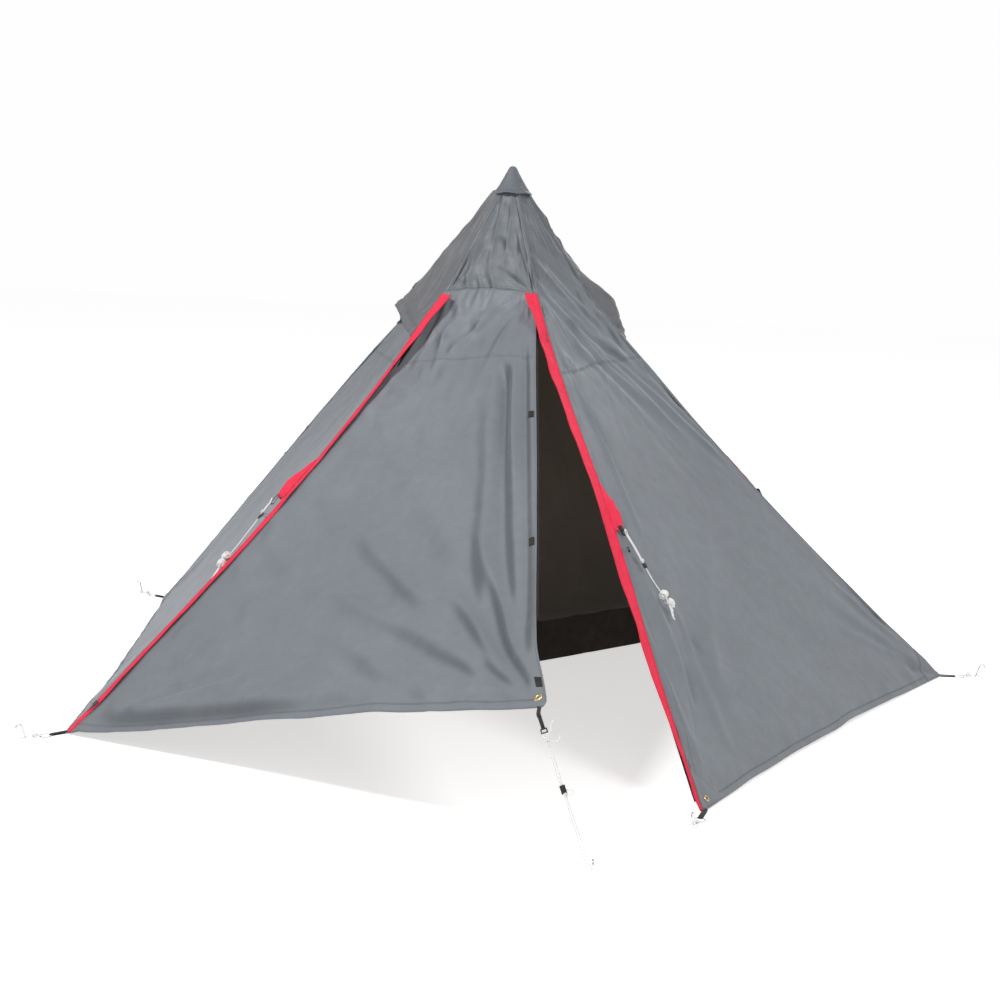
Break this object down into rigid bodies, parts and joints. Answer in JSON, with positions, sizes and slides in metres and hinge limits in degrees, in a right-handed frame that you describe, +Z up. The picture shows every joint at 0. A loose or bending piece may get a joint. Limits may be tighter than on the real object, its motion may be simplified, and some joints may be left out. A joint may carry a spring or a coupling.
{
  "type": "teepee tent",
  "caption": "Five-sided single-pole tepee tent with a guyed-out swinging door, hooded vents, half inner tent, pole, pegs and guylines.",
  "frame": {"origin": "centre of the pole foot on the ground", "axes": "+Z up, -Y towards the door, +X to the right as seen from the door"},
  "size_m": [3.4884, 3.7879, 1.9482],
  "materials": {
    "canopy_fabric": "coated ripstop weave, slight sheen",
    "red_fabric": "dense plain weave",
    "black_webbing": "ribbed webbing",
    "zip_tape": "woven zip tape with coil",
    "hook_tape": "hook-and-loop tape",
    "black_plastic": "moulded",
    "zip_metal": "black enamel",
    "inner_net": "open net",
    "inner_fabric": "coated plain weave",
    "white_cord": "braided cord",
    "brass": "pressed eyelet",
    "ring_metal": "welded ring",
    "peg_metal": "drawn rod",
    "pole_metal": "anodised tube",
    "foot_rubber": "moulded foot"
  },
  "bodies": {
    "shelter": {"wall_left_lower": "canopy_fabric", "wall_left_upper": "canopy_fabric", "wall_rear_left_lower": "canopy_fabric", "wall_rear_left_upper": "canopy_fabric", "wall_rear_right_lower": "canopy_fabric", "wall_rear_right_upper": "canopy_fabric", "wall_right_lower": "canopy_fabric", "wall_right_upper": "canopy_fabric", "front_gable": "canopy_fabric", "door_hinge_panel": "canopy_fabric", "top_cap": "canopy_fabric", "apex_pocket": "black_webbing", "ridge_tapes": "black_webbing", "hem_tapes": "canopy_fabric", "storm_flap_left": "red_fabric", "storm_flap_right": "red_fabric", "zip_tape_left": "zip_tape", "zip_tape_right": "zip_tape", "vent_hood_left": "canopy_fabric", "vent_hood_right": "canopy_fabric", "vent_mesh": "inner_net", "vent_prop_mounts": "black_plastic", "corner_patches": "canopy_fabric", "corner_grommets": "brass", "corner_loops": "black_webbing", "corner_rings": "ring_metal", "corner_cords": "white_cord", "ground_pegs": "peg_metal", "guy_patches": "red_fabric", "guy_loops": "black_webbing", "door_toggles": "black_plastic", "flap_fastener_tabs": "hook_tape", "pole_section_bottom": "pole_metal", "pole_sections_middle": "pole_metal", "pole_section_top": "pole_metal", "pole_ferrules": "pole_metal", "pole_foot": "foot_rubber", "pole_tip": "black_plastic", "pole_shock_cord": "black_webbing", "inner_floor": "inner_fabric", "inner_sill": "inner_fabric", "inner_mesh_walls": "inner_net", "inner_front_sill": "inner_fabric", "inner_front_mesh": "inner_net"},
    "door": {"door_panel_lower": "canopy_fabric", "door_panel_upper": "canopy_fabric", "door_zip_tape": "zip_tape", "door_fastener_tabs": "hook_tape", "door_corner_loop": "black_webbing", "door_grommet": "brass"},
    "door_line": {"door_guyline": "white_cord"},
    "line_runner": {"guyline_runner": "black_plastic"},
    "left_zip_slider": {"zip_slider_left": "zip_metal"},
    "right_zip_slider": {"zip_slider_right": "zip_metal"},
    "left_vent_stick": {"vent_prop_left": "black_plastic"},
    "right_vent_stick": {"vent_prop_right": "black_plastic"},
    "left_ridge_line": {"ridge_guyline_left": "white_cord"},
    "right_ridge_line": {"ridge_guyline_right": "white_cord"},
    "inner_door_leaf": {"inner_door": "inner_net"}
  },
  "joints": [
    {"name": "door_swing", "type": "hinge", "parent": "shelter", "child": "door", "pos_m": [0.16223, -0.22329, 1.363], "axis": [-0.4623, -0.3022, -0.8337], "range_deg": [-25.78, 30]},
    {"name": "door_line_swing", "type": "hinge", "parent": "door", "child": "door_line", "pos_m": [0.63349, -1.8517, 0.35104], "axis": [-0.8668, -0.381, -0.3217], "range_deg": [-12, 72]},
    {"name": "line_runner_slide", "type": "slide", "parent": "door_line", "child": "line_runner", "axis": [0.3931, -0.1253, -0.9109], "range_m": [-0.125, 0.14]},
    {"name": "left_zip_slide", "type": "slide", "parent": "shelter", "child": "left_zip_slider", "axis": [0.421, 0.5795, 0.6978], "range_m": [0, 1.68]},
    {"name": "right_zip_slide", "type": "slide", "parent": "shelter", "child": "right_zip_slider", "axis": [0.421, -0.5795, -0.6978], "range_m": [0, 1.62]},
    {"name": "left_vent_stick_fold", "type": "hinge", "parent": "shelter", "child": "left_vent_stick", "pos_m": [-0.26724, -0.08683, 1.30447], "axis": [0.309, -0.9511, 0], "range_deg": [0, 80]},
    {"name": "right_vent_stick_fold", "type": "hinge", "parent": "shelter", "child": "right_vent_stick", "pos_m": [0.16516, 0.22732, 1.30447], "axis": [-0.809, 0.5878, 0], "range_deg": [0, 80]},
    {"name": "left_ridge_line_swing", "type": "hinge", "parent": "shelter", "child": "left_ridge_line", "pos_m": [-0.59893, -0.7928, 0.65951], "axis": [-0.7317, -0.2377, 0.6388], "range_deg": [-40, 30]},
    {"name": "right_ridge_line_swing", "type": "hinge", "parent": "shelter", "child": "right_ridge_line", "pos_m": [0.59893, -0.7928, 0.65951], "axis": [0.7317, -0.2377, 0.6388], "range_deg": [-25, 55]},
    {"name": "inner_door_swing", "type": "hinge", "parent": "shelter", "child": "inner_door_leaf", "pos_m": [-0.10366, -0.23342, 0.5], "axis": [0, 0, 1], "range_deg": [0, 90]}
  ]
}
